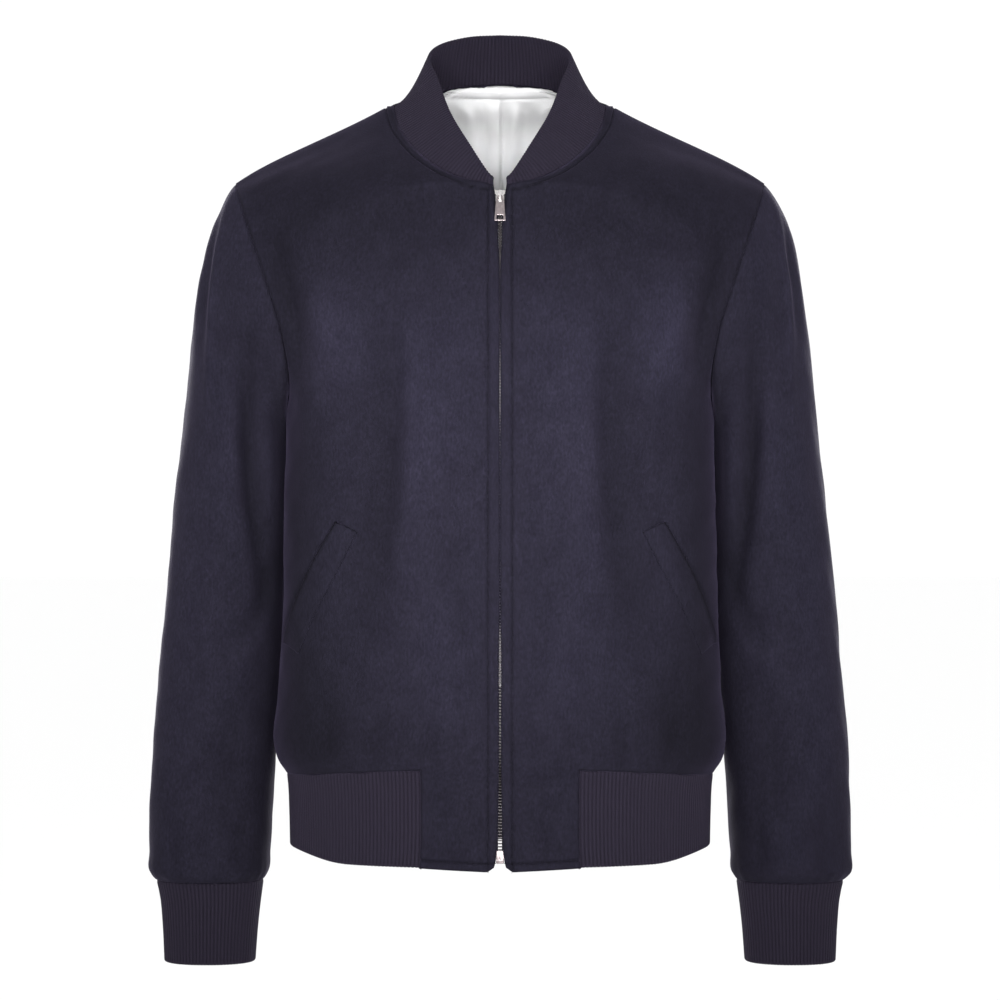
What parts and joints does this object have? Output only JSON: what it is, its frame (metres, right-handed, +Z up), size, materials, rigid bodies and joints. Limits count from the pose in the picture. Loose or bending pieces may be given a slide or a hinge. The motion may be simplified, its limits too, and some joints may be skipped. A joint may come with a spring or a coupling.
{
  "type": "bomber jacket",
  "caption": "Men's zip-front wool bomber jacket, hollow and filled out as worn, with a rib knit collar, cuffs and hem and slanted welt pockets.",
  "frame": {"origin": "middle of the neck at the height of the side neck points, where the wearer's shoulders carry the jacket", "axes": "+Z up, -Y out of the jacket's front, +X towards the wearer's left"},
  "size_m": [0.6126, 0.2542, 0.8093],
  "materials": {
    "navy_wool": "matt brushed wool",
    "navy_rib": "matt rib knit",
    "white_lining": "smooth satin lining",
    "zip_tape": "woven tape",
    "zip_silver": "polished",
    "zip_teeth": "dark polished"
  },
  "bodies": {
    "jacket": {"front_right": "navy_wool", "front_left": "navy_wool", "back": "navy_wool", "sleeve_right": "navy_wool", "sleeve_left": "navy_wool", "pocket_welt_right": "navy_wool", "pocket_welt_left": "navy_wool", "collar_rib": "navy_rib", "hem_rib": "navy_rib", "cuff_right": "navy_rib", "cuff_left": "navy_rib", "back_lining": "white_lining", "zip_tape_right": "zip_tape", "zip_tape_left": "zip_tape", "zip_chain": "zip_teeth", "zip_slider": "zip_silver", "zip_box": "zip_silver"},
    "pull": {"pull_tab": "zip_silver"}
  },
  "joints": [
    {"name": "pull_hinge", "type": "hinge", "parent": "jacket", "child": "pull", "pos_m": [0, -0.10272, -0.08825], "axis": [-1, 0, 0], "range_deg": [0, 150]}
  ]
}
